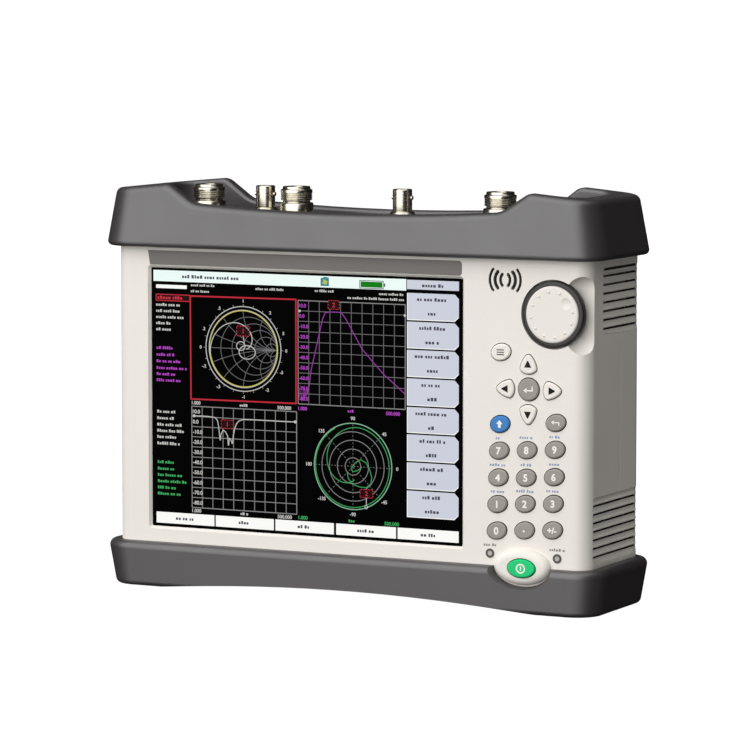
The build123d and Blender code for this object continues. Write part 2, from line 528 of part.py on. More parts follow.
# ------------------------------------------------------------------ tilt bail
ba0, ba1 = bx - 3.3, bx + 3.3
bail = box(-ba1, ba1, BAIL_Y - 2.9, BAIL_Y + 2.9, BAIL_FOOT[0], BAIL_FOOT[1])
for s in (-1, 1):
    x0, x1 = sorted((s * ba0, s * ba1))
    bail += box(x0, x1, BAIL_Y - 2.9, BAIL_Y + 2.9, BAIL_FOOT[0], bz)
    bail += cyl_x(BAIL_Y, bz, x0, x1, 2.9)
bail = fillet([e for e in bail.edges() if abs(e.bounding_box().min.Z - BAIL_FOOT[0]) < 0.01
               and e.bounding_box().size.Y > 5], 3.0)
pins = []
for s in (-1, 1):
    x0, x1 = sorted((s * (arm0 - WALL), s * (arm1 + WALL)))
    bail -= cyl_x(BAIL_Y, bz, x0, x1, 2.05)
    pins.append(cyl_x(BAIL_Y, bz, x0, x1, 2.0))
save(bail, "tilt_bail")
save(group(pins), "bail_pins")

# ---------------------------------------------------------------- case screws
scr = []
for x, z in CASE_SCREWS:
    head = cyl_y(x, z, CASE_YR - 2.8, CASE_YR - 0.8, 2.9)
    head = fillet(front_edges(head, CASE_YR - 0.8), 0.5)
    s = head + cyl_y(x, z, -7.5, CASE_YR - 2.8, 1.5)
    s -= Pos(x, CASE_YR - 1.4, z) * Rot(90, 0, 0) * extrude(RegularPolygon(1.7, 6), amount=1.3, both=True)
    scr.append(s)
save(group(scr), "case_screws")
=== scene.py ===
import json
import math

import bmesh
import bpy
from mathutils import Matrix, Vector


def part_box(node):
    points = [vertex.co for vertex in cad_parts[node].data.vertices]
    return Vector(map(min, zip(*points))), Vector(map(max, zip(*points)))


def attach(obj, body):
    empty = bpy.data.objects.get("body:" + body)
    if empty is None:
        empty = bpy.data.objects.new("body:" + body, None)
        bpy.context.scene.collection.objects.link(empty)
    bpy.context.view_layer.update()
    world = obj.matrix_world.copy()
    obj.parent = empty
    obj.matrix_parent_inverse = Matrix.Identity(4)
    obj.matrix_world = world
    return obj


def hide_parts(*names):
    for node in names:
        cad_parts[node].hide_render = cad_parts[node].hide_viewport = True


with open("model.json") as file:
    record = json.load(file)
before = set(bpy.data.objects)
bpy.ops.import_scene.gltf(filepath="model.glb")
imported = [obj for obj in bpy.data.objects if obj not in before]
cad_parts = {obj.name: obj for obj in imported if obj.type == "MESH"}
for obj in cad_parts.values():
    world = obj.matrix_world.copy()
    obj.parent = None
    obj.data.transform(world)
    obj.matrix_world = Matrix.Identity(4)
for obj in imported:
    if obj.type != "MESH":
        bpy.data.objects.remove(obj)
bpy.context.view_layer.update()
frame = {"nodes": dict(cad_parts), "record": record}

nodes = frame["nodes"]
MM = 0.001
scene = bpy.context.scene
scene.view_settings.view_transform = "Standard"


# ------------------------------------------------------------------ materials
def srgb(r, g, b):
    """Linear colour of an 8-bit display colour."""
    out = []
    for v in (r, g, b):
        v /= 255.0
        out.append(v / 12.92 if v <= 0.04045 else ((v + 0.055) / 1.055) ** 2.4)
    return tuple(out) + (1.0,)


def tint(c, k):
    return tuple(max(0.0, min(1.0, v * k)) for v in c[:3]) + (1.0,)


def shader(name):
    m = bpy.data.materials.new(name)
    m.use_nodes = True
    nt = m.node_tree
    nt.nodes.clear()
    out = nt.nodes.new("ShaderNodeOutputMaterial")
    b = nt.nodes.new("ShaderNodeBsdfPrincipled")
    nt.links.new(b.outputs["BSDF"], out.inputs["Surface"])
    return m, nt, b


def place(nt):
    return nt.nodes.new("ShaderNodeTexCoord").outputs["Object"]


def noise(nt, vec, scale, detail=3.0, rough=0.55, stretch=None):
    if stretch:
        mp = nt.nodes.new("ShaderNodeMapping")
        mp.inputs["Scale"].default_value = stretch
        nt.links.new(vec, mp.inputs["Vector"])
        vec = mp.outputs["Vector"]
    n = nt.nodes.new("ShaderNodeTexNoise")
    n.inputs["Scale"].default_value = scale
    n.inputs["Detail"].default_value = detail
    n.inputs["Roughness"].default_value = rough
    nt.links.new(vec, n.inputs["Vector"])
    return n.outputs["Fac"]


def ramp(nt, fac, stops):
    r = nt.nodes.new("ShaderNodeValToRGB")
    els = r.color_ramp.elements
    while len(els) < len(stops):
        els.new(0.5)
    for e, (p, c) in zip(els, stops):
        e.position = p
        e.color = c
    nt.links.new(fac, r.inputs["Fac"])
    return r.outputs["Color"]


def span(nt, fac, lo, hi, f0=0.3, f1=0.7):
    m = nt.nodes.new("ShaderNodeMapRange")
    m.inputs["From Min"].default_value = f0
    m.inputs["From Max"].default_value = f1
    m.inputs["To Min"].default_value = lo
    m.inputs["To Max"].default_value = hi
    nt.links.new(fac, m.inputs["Value"])
    return m.outputs["Result"]


def bump(nt, b, height, strength, dist, normal=None):
    n = nt.nodes.new("ShaderNodeBump")
    n.inputs["Strength"].default_value = strength
    n.inputs["Distance"].default_value = dist
    nt.links.new(height, n.inputs["Height"])
    if normal is not None:
        nt.links.new(normal, n.inputs["Normal"])
    nt.links.new(n.outputs["Normal"], b.inputs["Normal"])
    return n.outputs["Normal"]


def gap_below(y, floor):
    """Painted shade: darkens walls that lie deeper than y, standing for the shade in the narrow gap round a key."""
    def factor(nt, p):
        sep = nt.nodes.new("ShaderNodeSeparateXYZ")
        nt.links.new(p, sep.inputs["Vector"])
        return span(nt, sep.outputs["Y"], 1.0, floor, y * MM, (y + 0.4) * MM)
    return factor


def slots_below(cx, cy, r, floor):
    """Painted shade for the vent slots: darkens walls that lie deeper than the skin of a rounded rear corner at cx, cy
    with radius r.
    """
    def factor(nt, p):
        sep = nt.nodes.new("ShaderNodeSeparateXYZ")
        nt.links.new(p, sep.inputs["Vector"])
        squares = []
        for axis, c in (("X", cx), ("Y", cy)):
            sub = nt.nodes.new("ShaderNodeMath")
            sub.operation = "SUBTRACT"
            nt.links.new(sep.outputs[axis], sub.inputs[0])
            sub.inputs[1].default_value = c * MM
            top = nt.nodes.new("ShaderNodeMath")
            top.operation = "MAXIMUM"
            nt.links.new(sub.outputs[0], top.inputs[0])
            top.inputs[1].default_value = 0.0
            sq = nt.nodes.new("ShaderNodeMath")
            sq.operation = "POWER"
            nt.links.new(top.outputs[0], sq.inputs[0])
            sq.inputs[1].default_value = 2.0
            squares.append(sq.outputs[0])
        add = nt.nodes.new("ShaderNodeMath")
        add.operation = "ADD"
        nt.links.new(squares[0], add.inputs[0])
        nt.links.new(squares[1], add.inputs[1])
        root = nt.nodes.new("ShaderNodeMath")
        root.operation = "SQRT"
        nt.links.new(add.outputs[0], root.inputs[0])
        return span(nt, root.outputs[0], floor, 1.0, (r - 1.3) * MM, (r - 0.8) * MM)
    return factor


def moulded(name, col, rough=(0.45, 0.6), grain=1500, strength=0.25, depth=0.00006, vary=0.05,
            patch=26, spec=0.5, sheen=0.0, coat=0.0, ior=1.5, shade=None):
    """Moulded plastic or rubber: mottled colour, a fine spark-eroded grain and uneven gloss; a given shade factor
    scales the colour down as painted shade.
    """
    m, nt, b = shader(name)
    p = place(nt)
    big = noise(nt, p, patch, 4.0, 0.6)
    fine = noise(nt, p, grain * 0.5, 2.0, 0.5)
    mix = nt.nodes.new("ShaderNodeMath")
    mix.operation = "MULTIPLY_ADD"
    nt.links.new(fine, mix.inputs[0])
    mix.inputs[1].default_value = 0.35
    nt.links.new(big, mix.inputs[2])
    colour = ramp(nt, mix.outputs[0], [(0.42, tint(col, 1 - vary)), (0.66, col), (0.92, tint(col, 1 + vary))])
    # painted shade: the colour is scaled by the shade factor
    if shade:
        dark = nt.nodes.new("ShaderNodeVectorMath")
        dark.operation = "SCALE"
        nt.links.new(colour, dark.inputs[0])
        nt.links.new(shade(nt, p), dark.inputs["Scale"])
        colour = dark.outputs["Vector"]
    nt.links.new(colour, b.inputs["Base Color"])
    nt.links.new(span(nt, big, rough[0], rough[1]), b.inputs["Roughness"])
    bump(nt, b, noise(nt, p, grain, 2.0, 0.5), strength, depth)
    b.inputs["Specular IOR Level"].default_value = spec
    b.inputs["IOR"].default_value = ior
    if sheen:
        b.inputs["Sheen Weight"].default_value = sheen
        b.inputs["Sheen Roughness"].default_value = 0.45
    if coat:
        b.inputs["Coat Weight"].default_value = coat
        b.inputs["Coat Roughness"].default_value = 0.08
    return m


def metal(name, col, rough=(0.16, 0.3), streak=(1, 1, 60), strength=0.06, dull=0.82):
    """Plated or brushed metal: fine machining streaks, a little tarnish and uneven polish."""
    m, nt, b = shader(name)
    p = place(nt)
    s = noise(nt, p, 90, 3.0, 0.6, streak)
    big = noise(nt, p, 140, 3.0, 0.6)
    nt.links.new(ramp(nt, big, [(0.3, tint(col, dull)), (0.6, col), (0.85, tint(col, 1.06))]), b.inputs["Base Color"])
    nt.links.new(span(nt, s, rough[0], rough[1]), b.inputs["Roughness"])
    b.inputs["Metallic"].default_value = 1.0
    bump(nt, b, s, strength, 0.00003)
    return m


def glow(name, col, strength=1.0, vary=0.05):
    """A lit part of the display picture: the backlight is a little uneven."""
    m, nt, b = shader(name)
    p = place(nt)
    f = noise(nt, p, 22, 2.0, 0.5)
    nt.links.new(ramp(nt, f, [(0.3, tint(col, 1 - vary)), (0.7, col)]), b.inputs["Emission Color"])
    b.inputs["Emission Strength"].default_value = strength
    nt.links.new(ramp(nt, f, [(0.3, (0.001, 0.001, 0.001, 1)), (0.7, (0.003, 0.003, 0.003, 1))]), b.inputs["Base Color"])
    b.inputs["Roughness"].default_value = 0.4
    b.inputs["Specular IOR Level"].default_value = 0.02
    return m


CASE = srgb(231, 226, 218)
mats = {
    "case_plastic": moulded("case_plastic", CASE, (0.48, 0.62), 1700, 0.22, 0.00005, 0.022, 18),
    "bumper_rubber": moulded("bumper_rubber", srgb(53, 49, 50), (0.4, 0.48), 1400, 0.3, 0.00007, 0.06, 30, 1.0, ior=1.58),
    "seal_rubber": moulded("seal_rubber", srgb(44, 43, 42), (0.6, 0.75), 1600, 0.3),
    "strip_grey": moulded("strip_grey", srgb(107, 103, 100), (0.46, 0.56), 2400, 0.16, 0.00003, 0.05, 14, 0.45),
    "lcd_silver": metal("lcd_silver", (0.62, 0.62, 0.62, 1), (0.3, 0.45)),
    "zinc_sheet": metal("zinc_sheet", (0.55, 0.55, 0.53, 1), (0.35, 0.5)),
    "screw_steel": metal("screw_steel", (0.5, 0.5, 0.5, 1), (0.22, 0.4)),
    "mat_silicone": moulded("mat_silicone", srgb(150, 146, 142), (0.55, 0.7), 1500, 0.2),
    "board_green": moulded("board_green", srgb(38, 92, 58), (0.35, 0.5), 2500, 0.2, 0.00004, 0.12, 60),
    "encoder_black": moulded("encoder_black", srgb(44, 44, 44), (0.45, 0.6), 1800, 0.25),
    "knob_rubber": moulded("knob_rubber", srgb(33, 30, 27), (0.42, 0.52), 1800, 0.3, 0.00006, 0.1, 60, 0.5),
    "knob_plastic": moulded("knob_plastic", srgb(229, 224, 216), (0.4, 0.52), 2200, 0.16, 0.00004, 0.02, 40),
    "lamp_clear": moulded("lamp_clear", srgb(170, 166, 158), (0.12, 0.2), 900, 0.05, 0.00003, 0.1, 300, 0.5, 0.0, 0.6),
    "panel_dark": moulded("panel_dark", srgb(70, 68, 68), (0.45, 0.6), 1300, 0.35, 0.00008, 0.08, 50),
    "nickel": metal("nickel", (0.68, 0.63, 0.53, 1), (0.2, 0.3), (1, 1, 20), 0.02),
    "ptfe": moulded("ptfe", srgb(236, 235, 228), (0.4, 0.55), 1200, 0.12),
    "contact_gold": metal("contact_gold", (0.83, 0.62, 0.24, 1), (0.15, 0.28)),
    "jack_black": moulded("jack_black", srgb(24, 24, 24), (0.5, 0.62), 1800, 0.25, spec=0.35),
    "shield_aluminium": metal("shield_aluminium", (0.66, 0.66, 0.66, 1), (0.28, 0.42), (60, 1, 1)),
    "bail_grey": moulded("bail_grey", srgb(72, 69, 69), (0.48, 0.62), 1500, 0.28, 0.00006, 0.06, 30),
    # key colours below carry painted shade: walls deeper than the given y are darkened to stand for the shade in the
    # gaps round the keys and the power button
    "key_grey": moulded("key_grey", srgb(151, 145, 137), (0.52, 0.64), 1700, 0.25, 0.00005, 0.05, 90, 0.4,
                        shade=gap_below(-32.15, 0.12)),
    "key_white": moulded("key_white", srgb(234, 228, 219), (0.5, 0.62), 1700, 0.2, 0.00005, 0.02, 90, 0.45, 0.05,
                         shade=gap_below(-32.0, 0.3)),
    "key_blue": moulded("key_blue", srgb(49, 121, 187), (0.5, 0.6), 1700, 0.22, 0.00005, 0.05, 90, 0.4,
                        shade=gap_below(-32.15, 0.15)),
    "key_green": moulded("key_green", srgb(2, 199, 116), (0.46, 0.58), 1700, 0.22, 0.00005, 0.05, 90, 0.3,
                         shade=gap_below(-35.8, 0.25)),
    "mark_white": moulded("mark_white", srgb(238, 236, 230), (0.5, 0.6), 2400, 0.12, 0.00002, 0.04, 200),
    "mark_dark": moulded("mark_dark", srgb(14, 13, 12), (0.6, 0.7), 2400, 0.12, 0.00002, 0.1, 200, 0.2),
    "mark_grey": moulded("mark_grey", srgb(128, 123, 118), (0.5, 0.6), 2400, 0.12, 0.00002, 0.06, 200),
    "mark_blue": moulded("mark_blue", srgb(136, 146, 184), (0.5, 0.6), 2400, 0.12, 0.00002, 0.06, 200),
    "mark_warm": moulded("mark_warm", srgb(214, 207, 198), (0.5, 0.6), 2400, 0.12, 0.00002, 0.05, 200),
    # vent plastic: case colour with painted shade darkening the slot walls behind the skin of the rear corner
    "vent_plastic": moulded("vent_plastic", CASE, (0.48, 0.62), 1700, 0.22, 0.00005, 0.022, 18,
                            shade=slots_below(119.6, 25.4, 10.0, 0.12)),
    # dark ring colour: painted shade for the shadowed rims of the lamp holes
    "lamp_ring": moulded("lamp_ring", srgb(62, 58, 54), (0.4, 0.5), 2200, 0.2),
}


def display_glass():
    m, nt, b = shader("display_black")
    p = place(nt)
    f = noise(nt, p, 30, 4.0, 0.6)
    nt.links.new(ramp(nt, f, [(0.3, (0.0002, 0.0002, 0.0002, 1)), (0.75, (0.0005, 0.0005, 0.0005, 1))]), b.inputs["Base Color"])
    nt.links.new(span(nt, f, 0.2, 0.3), b.inputs["Roughness"])
    bump(nt, b, noise(nt, p, 2600, 1.0, 0.5), 0.05, 0.00002)
    b.inputs["Specular IOR Level"].default_value = 0.008
    return m


mats["display_black"] = display_glass()

slot_of = {s["node"]: s["material_slot"] for s in frame["record"]["subparts"]}
for name, ob in nodes.items():
    m = mats["vent_plastic" if name == "vent_grilles" else slot_of[name]]
    if not ob.material_slots:
        ob.data.materials.append(m)
    for s in ob.material_slots:
        s.material = m


# ------------------------------------------------------------- mesh building
class Sheet:
    """Collects flat shapes drawn in x, z millimetres and raises them from y_back to y_front."""

    def __init__(self, y_back, y_front, fit=(1.0, 0.0, 1.0, 0.0)):
        self.bm = bmesh.new()
        self.y0, self.y1 = y_back * MM, y_front * MM
        self.fit = fit

    def _pair(self, p):
        ax, bx, az, bz = self.fit
        x, z = p[0] * ax + bx, p[1] * az + bz
        return (self.bm.verts.new((x * MM, self.y1, z * MM)), self.bm.verts.new((x * MM, self.y0, z * MM)))

    def poly(self, pts):
        v = [self._pair(p) for p in pts]
        n = len(v)
        self.bm.faces.new([a for a, _ in v])
        self.bm.faces.new([b for _, b in reversed(v)])
        for i in range(n):
            j = (i + 1) % n
            self.bm.faces.new([v[j][0], v[i][0], v[i][1], v[j][1]])

    def rect(self, x0, z0, x1, z1):
        self.poly([(x0, z0), (x1, z0), (x1, z1), (x0, z1)])

    def line(self, pts, w, closed=False):
        n = len(pts)
        h = w / 2
        lr = []
        for i, (x, z) in enumerate(pts):
            a = pts[(i - 1) % n] if closed or i else pts[i]
            b = pts[(i + 1) % n] if closed or i < n - 1 else pts[i]
            dirs = []
            for s, e in ((a, (x, z)), ((x, z), b)):
                d = math.hypot(e[0] - s[0], e[1] - s[1])
                if d > 1e-9:
                    dirs.append(((e[0] - s[0]) / d, (e[1] - s[1]) / d))
            nx = sum(-d[1] for d in dirs) / len(dirs)
            nz = sum(d[0] for d in dirs) / len(dirs)
            k = max(0.45, math.hypot(nx, nz))
            k = h / (k * k)
            lr.append((self._pair((x + nx * k, z + nz * k)), self._pair((x - nx * k, z - nz * k))))
        for i in range(n if closed else n - 1):
            (l0, r0), (l1, r1) = lr[i], lr[(i + 1) % n]
            self.bm.faces.new([l0[0], l1[0], r1[0], r0[0]])
            self.bm.faces.new([r0[1], r1[1], l1[1], l0[1]])
            self.bm.faces.new([l1[0], l0[0], l0[1], l1[1]])
            self.bm.faces.new([r0[0], r1[0], r1[1], r0[1]])
        if not closed:
            for l, r in (lr[0], lr[-1]):
                self.bm.faces.new([l[0], r[0], r[1], l[1]])

    def ring(self, cx, cz, rx, w, rz=None, n=72, a0=0.0, a1=360.0):
        rz = rx if rz is None else rz
        full = a1 - a0 >= 359.9
        k = n if full else n + 1
        pts = [(cx + rx * math.cos(math.radians(a0 + (a1 - a0) * i / n)),
                cz + rz * math.sin(math.radians(a0 + (a1 - a0) * i / n))) for i in range(k)]
        self.line(pts, w, full)

    def disc(self, cx, cz, r, n=20, rz=None):
        rz = r if rz is None else rz
        self.poly([(cx + r * math.cos(2 * math.pi * i / n), cz + rz * math.sin(2 * math.pi * i / n)) for i in range(n)])

    def piece(self, name, material, body, slot=None):
        bmesh.ops.recalc_face_normals(self.bm, faces=self.bm.faces)
        return finish_piece(self.bm, name, material, body)


def finish_piece(bm, name, material, body, smooth=False):
    me = bpy.data.meshes.new(name)
    bm.to_mesh(me)
    bm.free()
    ob = bpy.data.objects.new(name, me)
    scene.collection.objects.link(ob)
    me.materials.append(material)
    if smooth:
        for f in me.polygons:
            f.use_smooth = True
    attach(ob, body)
    return ob


def random_series(seed):
    while True:
        seed = (seed * 1103515245 + 12345) % 2147483648
        yield (seed >> 8) / 8388608.0


def marks(sheet, x0, x1, z, h, seed):
    """Rows of small plain blocks in groups, as wide and as tall as a line of legend."""
    r = random_series(seed)
    x = x0
    while x < x1 - 0.3 * h:
        for _ in range(2 + int(next(r) * 4)):
            g = (0.36 + 0.24 * next(r)) * h
            if x + g > x1:
                return
            sheet.rect(x, z - 0.34 * h, x + g, z + (0.4 if next(r) < 0.3 else 0.2) * h)
            x += g + 0.2 * h
        x += 0.36 * h


def figures(text, size, bold):
    """Outline mesh of a few characters of the plain built-in face, centred on the origin in x, z."""
    cu = bpy.data.curves.new("figures", "FONT")
    cu.body = text
    cu.size = size * MM
    cu.offset = bold * MM
    cu.resolution_u = 5
    cu.extrude = 0.00004
    ob = bpy.data.objects.new("figures", cu)
    scene.collection.objects.link(ob)
    bpy.context.view_layer.update()
    me = bpy.data.meshes.new_from_object(ob.evaluated_get(bpy.context.evaluated_depsgraph_get()))
    bpy.data.objects.remove(ob)
    bpy.data.curves.remove(cu)
    bm = bmesh.new()
    bm.from_mesh(me)
    bpy.data.meshes.remove(me)
    bmesh.ops.remove_doubles(bm, verts=bm.verts, dist=1e-7)
    lo = Vector([min(v.co[i] for v in bm.verts) for i in range(3)])
    hi = Vector([max(v.co[i] for v in bm.verts) for i in range(3)])
    c = (lo + hi) / 2
    for v in bm.verts:
        x, y, z = v.co - c
        v.co = (x, -z, y)
    return bm


def legend(text, x, z, y, size, bold, name, material, body, tilt=0.0):
    bm = figures(text, size, bold)
    t = math.radians(tilt)
    for v in bm.verts:
        a, b = v.co.x, v.co.z
        v.co = (x * MM + a * math.cos(t) - b * math.sin(t), y * MM + v.co.y, z * MM + a * math.sin(t) + b * math.cos(t))
    bmesh.ops.recalc_face_normals(bm, faces=bm.faces)
    return finish_piece(bm, name, material, body)


def numbers(items, y, bold, name, material, fit):
    """Plain figures (text, left, x, z, size) joined in one piece of the display picture; left-aligned or centred."""
    out = bmesh.new()
    ax, bx, az, bz = fit
    for text, left, x, z, size in items:
        bm = figures(text, size, bold)
        half = max(v.co.x for v in bm.verts)
        cx = (x * ax + bx) * MM + (half if left else 0.0)
        cz = (z * az + bz) * MM
        for v in bm.verts:
            v.co = (v.co.x + cx, v.co.y + y * MM, v.co.z + cz)
        me = bpy.data.meshes.new("figures")
        bm.to_mesh(me)
        bm.free()
        out.from_mesh(me)
        bpy.data.meshes.remove(me)
    bmesh.ops.recalc_face_normals(out, faces=out.faces)
    return finish_piece(out, name, material, "case")


# ---------------------------------------------------------------- display picture
LENS = -30.3
pic = {
    "white": glow("picture_white", srgb(251, 251, 248), 1.0, 0.02),
    "mint": glow("picture_header", srgb(238, 252, 248), 1.0, 0.03),
    "soft": glow("picture_softkey", srgb(206, 209, 222), 1.0, 0.03),
    "grey": glow("picture_grey", srgb(140, 138, 138), 1.0, 0.08),
    "dim": glow("picture_dim", srgb(116, 114, 116), 1.0, 0.08),
    "text": glow("picture_text", srgb(196, 196, 192), 1.0, 0.08),
    "ink": glow("picture_ink", srgb(74, 74, 86), 1.0, 0.1),
    "magenta": glow("picture_magenta", srgb(176, 70, 190), 1.0, 0.08),
    "green": glow("picture_green", srgb(62, 168, 92), 1.0, 0.08),
    "pale": glow("picture_pale_green", srgb(136, 188, 156), 1.0, 0.06),
    "purple": glow("picture_purple", srgb(148, 58, 160), 1.0, 0.08),
    "yellow": glow("picture_yellow", srgb(196, 190, 84), 1.0, 0.08),
    "red": glow("picture_red", srgb(188, 44, 58), 1.0, 0.08),
    "maroon": glow("picture_maroon", srgb(34, 7, 11), 1.0, 0.08),
    "marker": glow("picture_marker", srgb(196, 52, 64), 1.0, 0.06),
    "teal": glow("picture_teal", srgb(56, 140, 150), 1.0, 0.08),
    "bright": glow("picture_bright_green", srgb(14, 124, 18), 1.0, 0.05),
}


# the picture is laid out on a field of 173.0 x 129.7, a little larger than the lit area of the panel
FIT = (0.9945, 0.04, 0.9954, 1.04)


def layer(k):
    return Sheet(LENS + 0.01, LENS - 0.03 * k, FIT)


white, header, soft, rim, ink = layer(1), layer(1), layer(1), layer(2), layer(3)
grey, dim, text = layer(1), layer(1), layer(3)
mag_t, grn_t, wht_t = layer(3), layer(3), layer(3)
tr_y, tr_m, tr_w, tr_g, tr_p = layer(3), layer(3), layer(4), layer(3), layer(3)
red, maroon, mk_t = layer(2), layer(4), layer(6)
bat, teal, amber = layer(2), layer(2), layer(3)


def marker(x0, z0, x1, z1):
    """A dark label box with a broken outline."""
    maroon.rect(x0, z0, x1, z1)
    for i in range(5):
        a, b = x0 + (x1 - x0) * (i + 0.15) / 5, x0 + (x1 - x0) * (i + 0.75) / 5
        mk_t.line([(a, z0), (b, z0)], 0.32)
        mk_t.line([(a, z1), (b, z1)], 0.32)
    for i in range(3):
        a, b = z0 + (z1 - z0) * (i + 0.2) / 3, z0 + (z1 - z0) * (i + 0.75) / 3
        mk_t.line([(x0, a), (x0, b)], 0.32)
        mk_t.line([(x1, a), (x1, b)], 0.32)


# header bar with battery and link symbols, and the soft keys down the right
header.poly([(-109.0, 153.5), (32.6, 153.5), (32.6, 159.15), (-109.0, 159.1)])
marks(ink, -92.5, -60.0, 156.2, 2.3, 380)
bat.rect(7.7, 154.4, 19.6, 157.2)
ink.line([(7.2, 153.95), (20.1, 153.95), (20.1, 157.65), (7.2, 157.65)], 0.35, True)
ink.rect(20.5, 155.0, 21.2, 156.6)
teal.poly([(-14.4, 154.2), (-9.8, 154.2), (-9.8, 158.4), (-12.0, 158.8), (-14.4, 158.0)])
amber.poly([(-13.4, 155.4), (-11.2, 154.9), (-10.6, 156.6), (-12.6, 157.6)])
soft.rect(33.0, 154.3, 61.1, 158.9)
marks(ink, 41.2, 52.8, 156.3, 2.3, 381)
KEY_TOP = (152.5, 138.45, 124.6, 110.6, 96.55, 83.1, 69.3, 55.4)
for i, zt in enumerate(KEY_TOP):
    zb = (KEY_TOP[i + 1] if i < 7 else 41.5) + 0.75
    c = 2.2
    soft.poly([(33.1, zb), (61.1 - c, zb), (61.1, zb + c), (61.1, zt - c), (61.1 - c, zt), (33.1, zt)])
    rim.line([(33.3, zt - 0.2), (33.3, zb + 0.2), (58.7, zb + 0.2), (60.9, zb + c)], 0.4)
    for q, dz in enumerate((3.0, 9.9)):
        half = (8.4, 7.2, 9.6, 6.0, 9.2, 7.0, 6.6, 5.4)[(i + 3 * q) % 8] * (1.0 if q == 0 else 0.42)
        marks(ink, 46.9 - half, 46.9 + half, zt - dz, 2.35, 90 + 7 * i + q)
BOT = ((-107.9, -74.6), (-73.8, -40.8), (-39.9, -7.2), (-5.9, 27.1), (28.0, 61.2))
for i, (a, b) in enumerate(BOT):
    white.rect(a, 31.15, b, 36.75)
    half = (5.4, 3.4, 3.8, 4.8, 4.0)[i]
    marks(ink, (a + b) / 2 - half, (a + b) / 2 + half, 33.9, 2.2, 300 + i)

# status lines
white.rect(-107.5, 150.0, -89.9, 151.8)
for i, (a, b, z) in enumerate(((-87.5, -72.5, 152.1), (-87.5, -76.0, 149.1), (-50.8, -34.6, 151.5), (-17.6, -6.8, 151.7),
                               (17.8, 32.0, 151.4), (0.4, 32.0, 148.9))):
    marks(text, a, b, z, 1.6, 400 + i)
red.line([(-107.5, 143.8), (-88.2, 143.8), (-88.2, 146.9), (-107.5, 146.9)], 0.5, True)
maroon.rect(-107.2, 144.1, -88.5, 146.6)
marks(mk_t, -106.6, -91.4, 145.3, 2.2, 420)
for i, (b, z) in enumerate(zip((-93.9, -92.7, -90.5, -99.1, -98.5), (141.7, 138.6, 135.5, 132.4, 129.3))):
    marks(wht_t, -107.5, b, z, 1.9, 430 + i)
for i, (b, z) in enumerate(zip((-96.3, -96.5, -92.4, -90.1, -95.7, -93.0), (119.9, 116.5, 113.2, 109.8, 106.7, 103.6))):
    marks(mag_t, -107.4, b, z, 1.9, 440 + i)
for i, (b, z) in enumerate(zip((-96.2, -96.9, -93.0, -90.6, -95.8, -93.4), (87.7, 84.4, 81.1, 78.0, 74.9, 71.6))):
    marks(wht_t, -107.2, b, z, 1.9, 450 + i)
for i, (b, z) in enumerate(zip((-95.9, -96.6, -92.8, -90.4, -95.6, -93.2), (62.1, 58.8, 55.6, 52.4, 49.2, 46.1))):
    marks(grn_t, -107.0, b, z, 1.9, 460 + i)

# impedance chart in a red frame
red.line([(-87.9, 146.6), (-28.2, 147.0), (-28.2, 95.3), (-87.7, 94.8)], 0.75, True)
SX, SZ, SR = -57.8, 121.2, 19.2
text.ring(SX, SZ, 21.2, 0.42, n=96)
text.ring(SX, SZ, SR + 0.2, 0.32, n=96)
for r in (0.2, 0.5, 1.0, 2.0, 5.0):
    dim.ring(SX + SR * r / (1 + r), SZ, SR / (1 + r), 0.28, n=64)
dim.line([(SX - SR, SZ), (SX + SR, SZ)], 0.28)
for xr in (0.2, 0.5, 1.0, 2.0, 5.0):
    for s in (1, -1):
        pts = []
        for i in range(181):
            a = math.radians(i * 2)
            px, pz = 1 + math.cos(a) / xr, s * (1 / xr + math.sin(a) / xr)
            if px * px + pz * pz <= 1.0005:
                pts.append((SX + SR * px, SZ + SR * pz))
        cut = 0
        for i in range(1, len(pts)):
            if math.hypot(pts[i][0] - pts[i - 1][0], pts[i][1] - pts[i - 1][1]) > 4.0:
                cut = i
        pts = pts[cut:] + pts[:cut]
        if len(pts) > 2:
            dim.line(pts, 0.26)
for i in range(24):
    a = math.radians(15 * i)
    grey.line([(SX + 21.5 * math.cos(a), SZ + 21.5 * math.sin(a)), (SX + 22.4 * math.cos(a), SZ + 22.4 * math.sin(a))], 0.3)
fig_w, fig_m, fig_g, fig_t = [], [], [], []
for t, a in (("1", 90), ("2", 51), ("5", 21), ("0", 0), ("-5", -27), ("-2", -56), ("-1", -90), ("-.5", -126), ("-.2", -157), ("0", 180),
             (".2", 157), (".5", 124)):
    a = math.radians(a)
    fig_t.append((t, False, SX + 24.2 * math.cos(a), SZ + 24.0 * math.sin(a), 2.2))
pts = []
for i in range(200):
    t = i / 199
    a = math.radians(200 - 560 * t)
    rr = SR * (1.0 - 0.02 * t) if t < 0.66 else SR * (0.987 - 0.9 * ((t - 0.66) / 0.34) ** 1.4)
    pts.append((SX + rr * math.cos(a), SZ + rr * math.sin(a)))
tr_y.line(pts[:132], 0.5)
tr_w.line(pts[131:], 0.4)
tr_w.line([(SX + 2.2 + 4.6 * math.cos(2 * math.pi * i / 40), SZ - 1.6 + 3.4 * math.sin(2 * math.pi * i / 40)) for i in range(40)], 0.4, True)
tr_w.line([(SX - 1.4 + 2.4 * math.cos(2 * math.pi * i / 30), SZ + 1.4 + 2.2 * math.sin(2 * math.pi * i / 30)) for i in range(30)], 0.35, True)
marker(-61.4, 127.7, -54.2, 132.6)
fig_k = [("1", False, -57.8, 130.15, 3.4)]
tr_w.line([(-57.8, 127.6), (-57.0, 123.0)], 0.3)
marks(wht_t, -59.9, -55.4, 92.9, 1.8, 558)
fig_w += [("1.000", True, -87.2, 93.0, 2.4), ("500.000", True, -38.6, 92.8, 2.4)]

